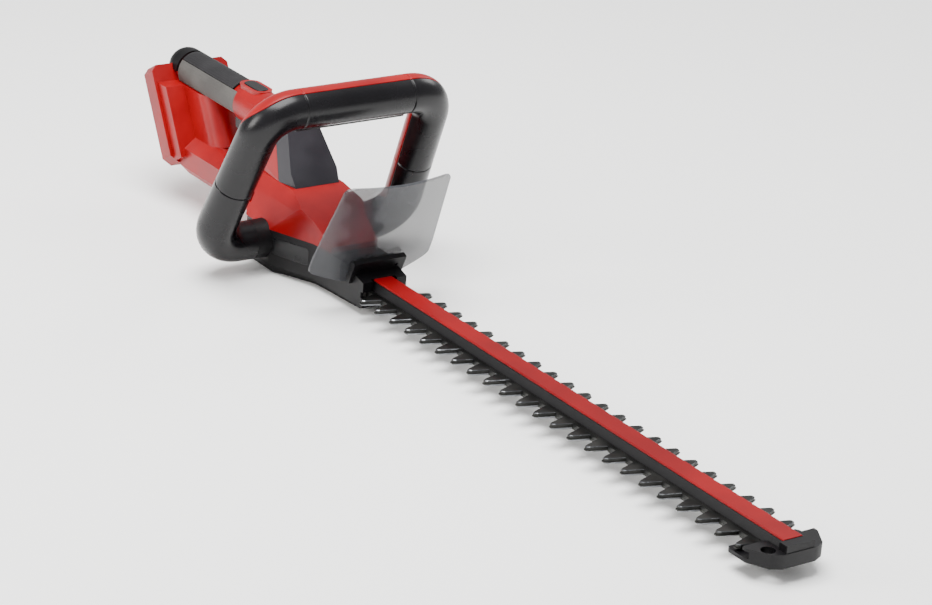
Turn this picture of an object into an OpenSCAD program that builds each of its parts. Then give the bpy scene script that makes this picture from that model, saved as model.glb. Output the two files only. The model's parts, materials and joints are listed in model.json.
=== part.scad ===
// Cordless hedge trimmer: reciprocating double blade, gearbox, motor housing with a rear D-handle,
// front loop handle, clear hand shield and a slide-on battery seat.
// +X runs to the blade tip, +Y to the user's left, +Z up. The origin is the middle of the flat
// resting face under the gear housing.

/* [Blade] */
// Distance from tooth to tooth along one edge
tooth_pitch = 22; // [18:1:26]
// Teeth along the right-hand edge of one blade
tooth_count = 23; // [14:1:27]
// Half the width over the tooth tips
tooth_reach = 31; // [27:1:36]
// Thickness of one blade
blade_t = 2.3; // [1.8:0.1:3]
// Half the width of the blade's solid spine
spine_half = 15; // [13:0.5:17]
// Width of the rail over the guide bar
channel_w = 23; // [22.6:0.1:26]
// Diameter of the blade guide bolts
guide_d = 6; // [4:0.5:7]

/* [Drive] */
// Offset of each eccentric, which is half the stroke of a blade
throw = 8; // [6:0.5:9]
// Teeth on the motor pinion
pinion_teeth = 10; // [9:1:12]
// Teeth on the crank gear
gear_teeth = 45; // [40:1:48]
// Tooth module of the gear pair
gear_module = 1.2; // [1:0.05:1.25]
// Width of the crank gear's rim
gear_face = 7; // [5:0.5:9]
// Diameter of the crankshaft
crank_d = 10; // [8:0.5:11]
// Diameter of the motor can
motor_d = 34; // [28:1:35]
// Length of the motor can
motor_len = 52; // [40:1:54]

/* [Housing] */
// Height of the blade plane above the resting face
blade_z = 18; // [17:0.5:21]
// Half-width of the gear housing behind its taper
housing_half = 41; // [39:0.5:46]
// Height of the seam between gear housing and motor housing
seam_z = 38; // [37:0.5:43]
// Wall of the moulded shells
wall = 2.5; // [2:0.1:3]
// Height of the rear handle's centre line
grip_z = 110; // [107:1:117]
// Outside diameter of the rear grip with its soft cover
grip_d = 34; // [31:0.5:36]
// Thickness of the soft cover
cover_t = 2.2; // [1.5:0.1:3]
// Lean of the battery seat from upright
seat_lean = 30; // [24:1:34]
// Width of the battery seat
seat_w = 76; // [70:1:84]
// Height of the battery seat along its face
seat_h = 88; // [80:1:94]

/* [Front handle and shield] */
// Width between the leg centre lines of the loop at the top bar
loop_w = 161; // [146:1:184]
// Height of the top bar's centre line
loop_z = 161.5; // [150:0.5:176]
// Outside diameter of the loop
loop_d = 33; // [30:0.5:36]
// Distance that the top bar stands ahead of the feet
loop_rake = 63.5; // [50:0.5:76]
// Width of the hand shield at its top
shield_w = 97; // [80:1:120]
// Thickness of the hand shield
shield_t = 2.5; // [2:0.1:3]

/* [Hidden] */
$fn = 48;

run_gap = 0.05;      // radial clearance of a running fit
slip = 0.3;          // clearance between faces that move past each other
joint_gap = 0.1;     // face clearance between still parts that must not fight
tiny = 0.01;

// stations along the blade, from the origin under the gear housing
first_tip = 90;                                   // first right-hand tooth tip
stagger = tooth_pitch / 2;                        // left-hand teeth sit half a pitch ahead
last_tip = first_tip + (tooth_count - 1) * tooth_pitch;
blade_gap = 0.2;                                  // between the two blades
upper_z0 = blade_z + blade_gap / 2;
lower_z0 = blade_z - blade_gap / 2 - blade_t;
bar_z0 = upper_z0 + blade_t + blade_gap;
bar_t = 3;
bar_half = 9;
bar_x0 = 34;
bar_x1 = last_tip + 31;
blade_x1 = last_tip + 11;
guide_count = 6;
guide_x0 = first_tip + 22;
guide_step = (last_tip - 24 - guide_x0) / (guide_count - 1);
sleeve_d = guide_d + 3;
slot_len = sleeve_d + 2 * throw + 2 * slip + 1;

// drive
centre_dist = gear_module * (pinion_teeth + gear_teeth) / 2;
crank_x = -33;
motor_x = crank_x - centre_dist;
disc_r = crank_d / 2 + throw + 2.5;
open_pivot = 0.22 * throw + slip;                 // room for the constant-ratio stroke
yoke_x = disc_r + open_pivot;
yoke_y = disc_r + throw + slip;
tail_half = yoke_y + 4;
tail_x0 = crank_x - yoke_x - 6;
spine_x0 = crank_x + yoke_x + 24;
base_t = 2;
gear_z0 = blade_z + 9;
frame_z0 = gear_z0 + gear_face + 1;
frame_t = 3;
crank_top = frame_z0 + frame_t + 4;
bearing_w = 5;
bearing_d = crank_d + 12;
shaft_d = 4;
motor_z0 = frame_z0 + frame_t;
motor_z1 = motor_z0 + motor_len;

// seat frame: origin at the foot of the battery face
seat_x = -222.5;
seat_z = 31;
seat_slab = 16;
seat_step = 13;
channel_half = 27;
channel_deep = 9;
block_half = 16;
block_foot = 12;
block_h = 16;

// rear handle
grip_r = grip_d / 2;
core_r = grip_r - cover_t;
cap_vent = 1;
grip_x0 = -270;
grip_x1 = -146;
arm_x1 = -70;
window_x1 = -95;
strut_z0 = seam_z - 8;
window_z0 = strut_z0 + 32;
button_x = -137;
pin_x = -106;
pin_z = grip_z - 9;
trigger_w = 13;

// loop handle: its frame stands on the line through the two feet
foot_x = -49.5;
foot_z = 26.5;
loop_lean = atan(loop_rake / (loop_z - foot_z));
loop_v = (loop_z - foot_z) / cos(loop_lean);
loop_r = loop_d / 2;
loop_in = loop_r - 3;
splay = 5;
top_bend = 28;
foot_bend = 26;
ear_y = housing_half + 12;

module at_seat() { translate([seat_x, 0, seat_z]) rotate([0, -seat_lean, 0]) children(); }
module at_loop() { translate([foot_x, 0, foot_z]) rotate([0, loop_lean, 0]) children(); }
module along_x() { rotate([0, 90, 0]) children(); }
module along_y() { rotate([-90, 0, 0]) children(); }
module both_sides() { children(); mirror([0, 1, 0]) children(); }

// a side outline (x, z) carried across from y0 to y1
module side_slab(points, y0, y1) {
    translate([0, y1, 0]) rotate([90, 0, 0]) linear_extrude(y1 - y0) polygon(points);
}
// a cross-section (y, z) carried along from x0 to x1
module cross_slab(points, x0, x1) {
    translate([x0, 0, 0]) rotate([90, 0, 90]) linear_extrude(x1 - x0) polygon(points);
}
// points (along, half-width) become a closed outline on both sides of the middle
function both(points) = concat([for (p = points) [p[0], -p[1]]],
    [for (i = [len(points) - 1:-1:0]) points[i]]);
function swapped(points) = [for (p = points) [p[1], p[0]]];
// every edge of a convex anticlockwise outline moved inwards by t
function edge_line(a, b, t) = let (d = (b - a) / norm(b - a), n = [-d[1], d[0]])
    [n[0], n[1], n * a + t];
function meet(p, q) = let (k = p[0] * q[1] - p[1] * q[0])
    [(p[2] * q[1] - p[1] * q[2]) / k, (p[0] * q[2] - p[2] * q[0]) / k];
function inset(pts, t) = let (n = len(pts)) [for (i = [0:n - 1]) meet(
    edge_line(pts[(i + n - 1) % n], pts[i], t), edge_line(pts[i], pts[(i + 1) % n], t))];

// a helical spring of round wire, swept as rings of eight points
module coil(r, wire, h, turns) {
    n = turns * 14;
    pts = [for (i = [0:n]) for (j = [0:7]) let (a = 360 * turns * i / n, b = 45 * j)
        [(r + wire / 2 * cos(b)) * cos(a), (r + wire / 2 * cos(b)) * sin(a),
            h * i / n + wire / 2 * sin(b)]];
    sides = [for (i = [0:n - 1]) for (j = [0:7])
        [i * 8 + j, i * 8 + (j + 1) % 8, (i + 1) * 8 + (j + 1) % 8, (i + 1) * 8 + j]];
    polyhedron(points = pts, faces = concat([[for (j = [7:-1:0]) j]], sides,
        [[for (j = [0:7]) n * 8 + j]]));
}
module screw(d, head_d, head_t, length) {
    cylinder(d = d, h = length + head_t / 2);
    translate([0, 0, length]) difference() {
        cylinder(d = head_d, h = head_t);
        translate([0, 0, head_t - 1]) cylinder(d = head_d * 0.5, h = 2, $fn = 6);
    }
}
// spur gear outline with straight-flanked teeth and play on both flanks
function gear_points(teeth, m, play) = let (r = m * teeth / 2, step = 360 / teeth,
    quarter = step / 4, root = r - 1.2 * m, tip = r + 0.85 * m)
    [for (i = [0:teeth - 1]) for (k = [[root, -1.55], [r, -1 + play], [tip, -0.42],
        [tip, 0.42], [r, 1 - play], [root, 1.55]])
        [k[0] * cos(i * step + k[1] * quarter), k[0] * sin(i * step + k[1] * quarter)]];

// ---- blades and guide bar
tooth_root = 13.5;
tooth_tip = 5;
module tooth(x, reach, turn) {
    translate([x, 0]) rotate(turn) polygon([[-tooth_root / 2, spine_half - 1], [tooth_root / 2, spine_half - 1],
        [tooth_tip / 2, reach - 2], [tooth_tip / 2 - 1.2, reach], [1.2 - tooth_tip / 2, reach],
        [-tooth_tip / 2, reach - 2]]);
}
module blade_outline(reach) {
    difference() {
        union() {
            translate([spine_x0, -spine_half]) square([blade_x1 - spine_x0, 2 * spine_half]);
            for (i = [0:tooth_count - 1]) tooth(first_tip + i * tooth_pitch, reach, 180);
            for (i = [0:tooth_count - 2]) tooth(first_tip + stagger + i * tooth_pitch, reach, 0);
            polygon(both([[crank_x, tail_half], [crank_x + yoke_x * 0.7, tail_half],
                [spine_x0 + 1, spine_half]]));
            translate([tail_x0, -tail_half]) square([crank_x - tail_x0 + 1, 2 * tail_half]);
        }
        for (i = [0:guide_count - 1]) translate([guide_x0 + i * guide_step, 0]) slot(slot_len, sleeve_d + 2 * slip);
        translate([crank_x - yoke_x, -yoke_y]) square([2 * yoke_x, 2 * yoke_y]);
    }
}
module slot(length, width) {
    square([length - width, width], center = true);
    for (s = [-1, 1]) translate([s * (length - width) / 2, 0]) circle(d = width);
}
module upper_blade() {
    color("dimgray") translate([0, 0, upper_z0]) linear_extrude(blade_t) blade_outline(tooth_reach - 1);
}
module lower_blade() {
    color("gray") translate([0, 0, lower_z0]) linear_extrude(blade_t) blade_outline(tooth_reach);
}
module guide_holes(d, z0, h) {
    for (i = [0:guide_count - 1]) translate([guide_x0 + i * guide_step, 0, z0]) cylinder(d = d, h = h);
}
module guide_bar() {
    color("#2a2a2c") difference() {
        translate([bar_x0, -bar_half, bar_z0]) cube([bar_x1 - bar_x0, 2 * bar_half, bar_t]);
        guide_holes(guide_d + 2 * run_gap, bar_z0 - 1, bar_t + 2);
        for (s = [-1, 1]) {
            translate([bar_fix_x, s * bar_fix_y, bar_z0 - 1]) cylinder(d = base_fix_d, h = bar_t + 2);
            translate([tip_fix_x, s * tip_fix_y, bar_z0 - 1]) cylinder(d = fix_d, h = bar_t + 2);
        }
    }
}
channel_z0 = bar_z0 - 0.1;
channel_top = blade_z + 11.5;
rail_top = channel_top - 1.7;
channel_x0 = 74;
channel_x1 = last_tip + 24;
channel_rim = 8.7;
module bar_channel() {
    outer = swapped([[channel_z0, -channel_w / 2], [channel_z0, channel_w / 2],
        [rail_top, channel_rim + 0.3], [rail_top, -channel_rim - 0.3]]);
    inner = [[-bar_half - joint_gap, channel_z0 - 1], [bar_half + joint_gap, channel_z0 - 1],
        [bar_half + joint_gap, bar_z0 + bar_t + joint_gap], [channel_rim - 2, rail_top - 1.6],
        [-channel_rim + 2, rail_top - 1.6], [-bar_half - joint_gap, bar_z0 + bar_t + joint_gap]];
    color("#232327") difference() {
        cross_slab(outer, channel_x0, channel_x1);
        cross_slab(inner, channel_x0 - 1, channel_x1 + 1);
    }
}
module bar_cover() {
    color("firebrick") cross_slab([[-channel_rim, rail_top], [channel_rim, rail_top], [channel_rim, channel_top - 0.6],
        [channel_rim - 0.6, channel_top], [0.6 - channel_rim, channel_top], [-channel_rim, channel_top - 0.6]],
        channel_x0, channel_x1);
}
module guide_bolts() {
    color("silver") for (i = [0:guide_count - 1]) translate([guide_x0 + i * guide_step, 0, 0]) {
        translate([0, 0, lower_z0 - 5]) cylinder(d = guide_d, h = bar_z0 + bar_t - lower_z0 + 5);
        translate([0, 0, lower_z0]) cylinder(d = sleeve_d, h = 2 * blade_t + blade_gap + blade_gap * 0.5);
        translate([0, 0, bar_z0 + bar_t]) cylinder(d = guide_d + 4, h = 2, $fn = 6);
    }
}
module guide_nuts() {
    color("silver") for (i = [0:guide_count - 1]) translate([guide_x0 + i * guide_step, 0, 0]) difference() {
        union() {
            translate([0, 0, lower_z0 - 1.2]) cylinder(d = sleeve_d + 5, h = 1);
            translate([0, 0, lower_z0 - 5]) cylinder(d = guide_d + 4.5, h = 4, $fn = 6);
        }
        translate([0, 0, lower_z0 - 6]) cylinder(d = guide_d, h = 8);
    }
}

// ---- tip guard
guard_x0 = last_tip - 8;
guard_x1 = last_tip + 33;
guard_z0 = lower_z0 - 3.4;
guard_h = channel_top - 0.6 - guard_z0;
hang_x = last_tip + 22;
hang_y = -tooth_reach + 11;
hang_d = 11;
fix_d = 3;
tip_fix_x = last_tip + 25;
tip_fix_y = 6;
module tip_guard() {
    rim = tooth_reach + 1;
    block = last_tip + 1;
    color("#1c1b20") difference() {
        union() {
            translate([0, 0, guard_z0]) linear_extrude(3) polygon(both([[guard_x0, rim - 2], [guard_x0 + 3, rim],
                [block + 12, rim], [guard_x1 - 4, rim - 9], [guard_x1, rim * 0.45]]));
            translate([0, 0, guard_z0]) linear_extrude(11) polygon(both([[block + 8, rim],
                [block + 12, rim], [guard_x1 - 4, rim - 9], [guard_x1, rim * 0.45]]));
            translate([channel_x1 + joint_gap, -channel_w / 2 - 1, guard_z0])
                cube([guard_x1 - channel_x1 - joint_gap - 0.5, channel_w + 2, guard_h]);
        }
        translate([guard_x0 - 1, -channel_w / 2 - joint_gap, channel_z0 - joint_gap])
            cube([channel_x1 - guard_x0 + 1 + joint_gap, channel_w + 2 * joint_gap, channel_top]);
        translate([guard_x0 - 1, -bar_half - joint_gap, bar_z0])
            cube([bar_x1 - guard_x0 + 1 + joint_gap, 2 * (bar_half + joint_gap), bar_t]);
        translate([guard_x0 - 1, -spine_half - slip, lower_z0 - slip])
            cube([blade_x1 + throw + slip - guard_x0 + 1, 2 * (spine_half + slip), bar_z0 - lower_z0 + slip]);
        translate([guard_x0 - 1, -rim - 1, lower_z0 - slip])
            cube([last_tip + tooth_root / 2 + throw + slip - guard_x0 + 1, 2 * rim + 2, bar_z0 - lower_z0 + slip]);
        translate([hang_x, hang_y, guard_z0 - 1]) cylinder(d = hang_d, h = guard_h + 2);
        for (s = [-1, 1]) translate([tip_fix_x, s * tip_fix_y, guard_z0 - 1]) {
            cylinder(d = fix_d + 0.2, h = bar_z0 - guard_z0 + 1);
            cylinder(d = 6.2, h = 3);
        }
    }
}
module tip_guard_screws() {
    color("silver") for (s = [-1, 1]) translate([tip_fix_x, s * tip_fix_y, bar_z0 + bar_t])
        mirror([0, 0, 1]) screw(fix_d, 6, 1.8, bar_z0 + bar_t - guard_z0 - 2);
}

// ---- gearbox
housing_wall = 3;
nose_x1 = 78;
nose_half = 21;
tooth_clear_x = first_tip - tooth_root / 2 - throw - slip;
housing_plan = [[-80, -36], [-74, -housing_half], [crank_x - 4, -housing_half], [6, -25], [30, -22.5],
    [nose_x1, -nose_half], [nose_x1, nose_half], [30, 22.5], [6, 25], [crank_x - 4, housing_half],
    [-74, housing_half], [-80, 36]];
low_plan = [[-77, -32], [-71, -housing_half + 4], [crank_x - 2, -housing_half + 4], [crank_x + 6, -31],
    [2, -18], [nose_x1 - 16, -13], [nose_x1 - 16, 13], [2, 18], [crank_x + 6, 31],
    [crank_x - 2, housing_half - 4], [-71, housing_half - 4], [-77, 32]];
low_h = 7;
nose_top = channel_top + 4;
shield_lean = 23;
shield_foot_x = 54;
shield_foot_z = 23.5;
flange_foot = 3.5;
slot_foot = 3;
shield_fix_z = 17;
bolt_spots = [[-60, 27], [-6, 14], [46, 8]];
base_fix_d = 4;
frame_plan = inset([for (p = housing_plan) if (p[0] < nose_x1) p], housing_wall);
module at_shield() { translate([shield_foot_x, 0, shield_foot_z]) rotate([0, shield_lean, 0]) children(); }
module spigot(grow) {
    both_sides() translate([foot_x, housing_half - 2, foot_z]) along_y() cylinder(r = loop_in - grow, h = ear_y + 11 - housing_half + 2);
}
module gear_housing() {
    top_cut = [[31, seam_z + 1], [31, seam_z - 1], [52, seam_z - 1], [60, nose_top], [nose_x1 + 1, nose_top - 5],
        [nose_x1 + 1, seam_z + 1]];
    color("#232226") difference() {
        union() {
            difference() {
                union() {
                    translate([0, 0, low_h]) linear_extrude(seam_z - low_h) polygon(housing_plan);
                    linear_extrude(low_h) polygon(low_plan);
                    both_sides() translate([foot_x, housing_half - 6, foot_z]) along_y()
                        cylinder(r = loop_r, h = ear_y - housing_half + 6);
                }
                side_slab(top_cut, -60, 60);
                translate([0, 0, -1]) linear_extrude(base_t + 1) polygon(inset(low_plan, housing_wall - 1));
                translate([0, 0, -1]) linear_extrude(low_h + housing_wall + 1) polygon(inset(low_plan, housing_wall));
                translate([0, 0, low_h + housing_wall]) linear_extrude(bar_z0 + bar_t + joint_gap - low_h - housing_wall)
                    polygon(inset(housing_plan, housing_wall));
                translate([0, 0, low_h + housing_wall]) linear_extrude(seam_z) polygon(frame_plan);
                translate([nose_x1 - 9, -spine_half - 1, lower_z0 - slip])
                    cube([12, 2 * spine_half + 2, bar_z0 - lower_z0 + slip + tiny]);
                translate([tooth_clear_x, -nose_half - 2, lower_z0 - slip])
                    cube([9, 2 * nose_half + 4, bar_z0 - lower_z0 + slip + tiny]);
                translate([nose_x1 - 9, -bar_half - joint_gap, bar_z0])
                    cube([12, 2 * (bar_half + joint_gap), bar_t + joint_gap]);
                translate([channel_x0 - joint_gap, -channel_w / 2 - joint_gap, channel_z0 - joint_gap])
                    cube([12, channel_w + 2 * joint_gap, channel_top - channel_z0 + 2 * joint_gap]);
            }
            // pillars for the base screws, each tied to the nearest wall by a rib
            intersection() {
                translate([0, 0, base_t]) linear_extrude(lower_z0 - 1 - base_t) polygon(inset(low_plan, 1));
                for (p = bolt_spots) both_sides() translate([p[0], p[1], base_t]) {
                    cylinder(r = 4.5, h = lower_z0);
                    translate([-3, 0, low_h - 3]) cube([6, housing_half, lower_z0]);
                }
            }
            difference() {
                spigot(joint_gap);
                both_sides() translate([foot_x, housing_half - 12, foot_z]) along_y()
                    cylinder(r = loop_in - 4, h = 60);
            }
            // flange that the shield is screwed to
            at_shield() translate([shield_t + joint_gap, -25, flange_foot]) cube([5, 50, 24 - flange_foot]);
        }
        for (p = bolt_spots) both_sides() translate([p[0], p[1], base_t - 1]) cylinder(d = base_fix_d, h = lower_z0 - 2 - base_t + 1);
        at_loop() both_sides() translate([-loop_r - 1, ear_y + 8, 0]) along_x() cylinder(d = base_fix_d, h = 2 * loop_r + 2);
        for (s = [-1, 1]) translate([bar_fix_x, s * bar_fix_y, bar_z0]) {
            cylinder(d = base_fix_d, h = 30);
            translate([0, 0, bar_t + 6]) cylinder(d = 8, h = 30);
        }
        at_shield() for (s = [-1, 1]) translate([-10, s * 17, shield_fix_z]) along_x() cylinder(d = fix_d, h = 30);
        at_shield() translate([-2, -60, slot_foot - joint_gap]) cube([2 + shield_t + joint_gap, 120, 40]);
    }
}
bar_fix_x = 46;
bar_fix_y = 5;
module bar_screws() {
    color("silver") for (s = [-1, 1]) translate([bar_fix_x, s * bar_fix_y, bar_z0]) screw(base_fix_d, 7.5, 2.5, bar_t + 6);
}
module base_plate() {
    color("silver") difference() {
        union() {
            linear_extrude(base_t) polygon(inset(low_plan, housing_wall - 1));
            translate([crank_x, 0, base_t - tiny]) cylinder(d = bearing_d + 6, h = lower_z0 - 2 - base_t);
        }
        translate([crank_x, 0, lower_z0 - 2 - bearing_w]) cylinder(d = bearing_d, h = bearing_w + 1);
        for (p = bolt_spots) both_sides() translate([p[0], p[1], -1]) {
            cylinder(d = base_fix_d + 0.4, h = 5);
            cylinder(d = 8.4, h = 2.2);
        }
    }
}
module base_screws() {
    color("dimgray") for (p = bolt_spots) both_sides() translate([p[0], p[1], lower_z0 - 2.5])
        mirror([0, 0, 1]) screw(base_fix_d, 8, 1, lower_z0 - 2.5 - 1.2);
}
module gear_frame() {
    color("lightgray") difference() {
        union() {
            translate([0, 0, frame_z0]) linear_extrude(frame_t) polygon(frame_plan);
            translate([crank_x, 0, frame_z0]) cylinder(d = bearing_d + 6, h = bearing_w + 2);
        }
        translate([crank_x, 0, frame_z0 - 1]) cylinder(d = bearing_d, h = bearing_w + 1);
        translate([crank_x, 0, frame_z0 - 1]) cylinder(d = crank_d + 4, h = 20);
        translate([motor_x, 0, frame_z0 - 1]) cylinder(d = shaft_d + 8, h = 20);
        for (s = [-1, 1]) translate([motor_x, s * 11, frame_z0 - 1]) cylinder(d = fix_d, h = 20);
    }
}
module blade_seal() {
    seal_x = nose_x1 - housing_wall - 5;
    seal_z = low_h + housing_wall + joint_gap;
    color("#4a4744") difference() {
        translate([seal_x, -nose_half + housing_wall + 0.2, seal_z])
            cube([4, 2 * (nose_half - housing_wall - 0.2), bar_z0 + bar_t - seal_z]);
        translate([seal_x - 1, -spine_half - slip, lower_z0 - slip])
            cube([6, 2 * (spine_half + slip), bar_z0 - lower_z0 + slip + tiny]);
        translate([seal_x - 1, -bar_half, bar_z0]) cube([6, 2 * bar_half, bar_t + 1]);
    }
}
module crankshaft() {
    color("silver") translate([crank_x, 0, lower_z0 - 2 - bearing_w]) cylinder(d = crank_d, h = crank_top - lower_z0 + 2 + bearing_w);
}
module crank_gear() {
    color("goldenrod") translate([crank_x, 0, gear_z0]) difference() {
        union() {
            linear_extrude(gear_face) polygon(gear_points(gear_teeth, gear_module, 0.12));
            translate([0, 0, -3]) cylinder(d = crank_d + 8, h = gear_face + 3);
        }
        translate([0, 0, -4]) cylinder(d = crank_d, h = gear_face + 8);
        for (a = [0:60:300]) rotate(a) translate([gear_module * gear_teeth * 0.33, 0, -1]) cylinder(d = 8, h = gear_face + 2);
    }
}
// at rest one lobe points to +Y and the other to -Y, at mid-stroke
module eccentric(z0, side) {
    color("silver") difference() {
        translate([crank_x, side * throw, z0]) cylinder(r = disc_r, h = blade_t - blade_gap);
        translate([crank_x, 0, z0 - 1]) cylinder(d = crank_d, h = blade_t + 2);
    }
}
module upper_eccentric() { eccentric(upper_z0 + blade_gap / 2, 1); }
module lower_eccentric() { eccentric(lower_z0 + blade_gap / 2, -1); }
module ball_bearing(inner_d, outer_d, w) {
    rotate_extrude() difference() {
        translate([inner_d / 2, 0]) square([(outer_d - inner_d) / 2, w]);
        for (y = [-1, w - 0.5]) translate([inner_d / 2 + (outer_d - inner_d) * 0.17, y]) square([(outer_d - inner_d) * 0.16, 1.5]);
    }
}
module crank_bearings() {
    color("lightsteelblue") for (z = [lower_z0 - 2 - bearing_w, frame_z0]) translate([crank_x, 0, z])
        ball_bearing(crank_d + 2 * run_gap, bearing_d, bearing_w);
}

// ---- motor
end_cap_h = 4;
fan_z0 = motor_z1 + end_cap_h + 1.5;
fan_h = 7;
module motor_can() {
    color("#8a8d92") translate([motor_x, 0, 0]) difference() {
        translate([0, 0, motor_z0]) cylinder(d = motor_d, h = motor_len);
        translate([0, 0, motor_z0 + 2.5]) cylinder(d = motor_d - 5, h = motor_len);
        translate([0, 0, motor_z0 - 1]) cylinder(d = shaft_d + 6, h = 8);
        for (s = [-1, 1]) translate([0, s * 11, motor_z0 - 1]) cylinder(d = fix_d, h = 5);
        for (a = [45:90:315]) rotate(a) translate([motor_d / 2 - 4, -3, motor_z0 + 10]) cube([8, 6, motor_len - 24]);
    }
}
module motor_rotor() {
    core_z0 = motor_z0 + 8;
    core_h = motor_len - 20;
    color("#9a6a3a") translate([motor_x, 0, 0]) {
        translate([0, 0, gear_z0 - 2]) cylinder(d = shaft_d, h = fan_z0 + fan_h + 1 - gear_z0 + 2);
        difference() {
            translate([0, 0, core_z0]) cylinder(d = motor_d - 9, h = core_h);
            for (a = [0:60:300]) rotate(a) translate([motor_d / 2 - 7.5, -1, core_z0 - 1]) cube([6, 2, core_h + 2]);
        }
        translate([0, 0, core_z0 + core_h - tiny]) cylinder(d = 12, h = 7);
    }
}
module motor_fan() {
    color("#2f3338") translate([motor_x, 0, fan_z0]) difference() {
        union() {
            cylinder(d = 10, h = fan_h);
            cylinder(d = motor_d - 9, h = 1.5);
            for (a = [0:40:320]) rotate(a) translate([3, -0.7, 0]) cube([motor_d / 2 - 7.7, 1.4, fan_h - 0.5]);
        }
        translate([0, 0, -1]) cylinder(d = shaft_d, h = fan_h + 2);
    }
}
module motor_pinion() {
    color("silver") translate([motor_x, 0, gear_z0]) difference() {
        rotate(gear_teeth % 2 == 0 ? 180 / pinion_teeth : 0) linear_extrude(gear_face)
            polygon(gear_points(pinion_teeth, gear_module, 0.12));
        translate([0, 0, -1]) cylinder(d = shaft_d, h = gear_face + 2);
    }
}
module motor_bearings() {
    color("lightsteelblue") for (z = [motor_z0 + 2.5 - 2.5, motor_z1]) translate([motor_x, 0, z])
        ball_bearing(shaft_d + 2 * run_gap, shaft_d + 6, 3);
}
module motor_end_cap() {
    color("#26262a") translate([motor_x, 0, motor_z1]) difference() {
        union() {
            cylinder(d = motor_d, h = end_cap_h - 1);
            translate([0, 0, -3]) cylinder(d = motor_d - 5 - 2 * joint_gap, h = 4);
        }
        translate([0, 0, -4]) cylinder(d = 20, h = 4);
        translate([0, 0, -1]) cylinder(d = shaft_d + 6, h = 8);
    }
}
module brush_holders() {
    color("#b08d57") translate([motor_x, 0, motor_z1 - 9]) for (s = [-1, 1]) translate([0, s * 10.5, 0])
        translate([-2.5, -3.5, 0]) cube([5, 7, 4.5]);
}

// ---- motor housing and rear handle
tower_z = grip_z + 17;
tower_rear = window_x1;
block_plan = [[-95, -24], [-76, -housing_half], [crank_x - 4, -housing_half], [6, -25], [30, -22.5],
    [30, 22.5], [6, 25], [crank_x - 4, housing_half], [-76, housing_half], [-95, 24]];
block_face = [[-housing_half, seam_z], [housing_half, seam_z], [housing_half - 9, seam_z + 23],
    [25, seam_z + 35], [-25, seam_z + 35], [-housing_half + 9, seam_z + 23]];
block_side = [[-96, seam_z - 1], [31, seam_z - 1], [31, seam_z + 4], [24, seam_z + 9], [-10, seam_z + 28],
    [-31, seam_z + 35], [-96, seam_z + 36]];
tower_plan = [[tower_rear, -18], [-88, -23], [-51, -25], [-28, -20.5], [-28, 20.5], [-51, 25],
    [-88, 23], [tower_rear, 18]];
tower_face = [[-25, seam_z + 10], [25, seam_z + 10], [25, seam_z + 35], [14, tower_z - 5], [9, tower_z],
    [-9, tower_z], [-14, tower_z - 5], [-25, seam_z + 35]];
tower_side = [[tower_rear, seam_z + 10], [-31, seam_z + 10], [-31, seam_z + 35], [-64, tower_z - 3],
    [-68, tower_z], [tower_rear, tower_z]];
strut_face = [[-24, strut_z0], [24, strut_z0], [30, strut_z0 + 7], [30, window_z0 - 8], [15, window_z0],
    [-15, window_z0], [-30, window_z0 - 8], [-30, strut_z0 + 7]];
module lower_block(t) {
    intersection() {
        translate([0, 0, seam_z]) linear_extrude(40) polygon(inset(block_plan, t));
        cross_slab(inset(block_face, t), -100, 40);
        side_slab(inset(block_side, t), -60, 60);
    }
}
module tower(t) {
    intersection() {
        linear_extrude(tower_z + 10) polygon(inset(tower_plan, t));
        cross_slab(inset(tower_face, t), -100, 0);
        side_slab(inset(tower_side, t), -60, 60);
    }
}
module arm(t) {
    translate([grip_x0 + grip_r, 0, grip_z]) {
        sphere(r = core_r - t);
        along_x() cylinder(r = core_r - t, h = arm_x1 - 16 - grip_x0 - grip_r);
    }
    translate([grip_x1 + t, 0, grip_z]) along_x() cylinder(r = grip_r - t, h = arm_x1 - 16 - grip_x1 - t);
}
module column(t) {
    intersection() {
        at_seat() union() {
            translate([column_x, 0, 0]) cylinder(r = grip_r - t, h = 110);
            translate([0, -grip_r + t, 0]) cube([column_x, 2 * (grip_r - t), 110]);
            translate([0, -seat_w / 2 + 3 + t, 2 + t]) cube([seat_slab + seat_step - t, seat_w - 6 - 2 * t, seat_h - 6 - 2 * t]);
        }
        translate([-400, -100, strut_z0 + 4]) cube([400, 200, grip_z - pad_drop - strut_z0 - 4 - (t > 0 ? 0.8 : 0)]);
    }
}
module strut(t) { cross_slab(inset(strut_face, t), seat_x, tower_rear + 12); }
module body_solid(t) {
    difference() {
        union() {
            lower_block(t);
            tower(t);
            arm(t);
            column(t);
            strut(t);
        }
        at_seat() translate([-200, -60, -40]) cube([200 + seat_slab + t, 120, 240]);
    }
}
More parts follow.
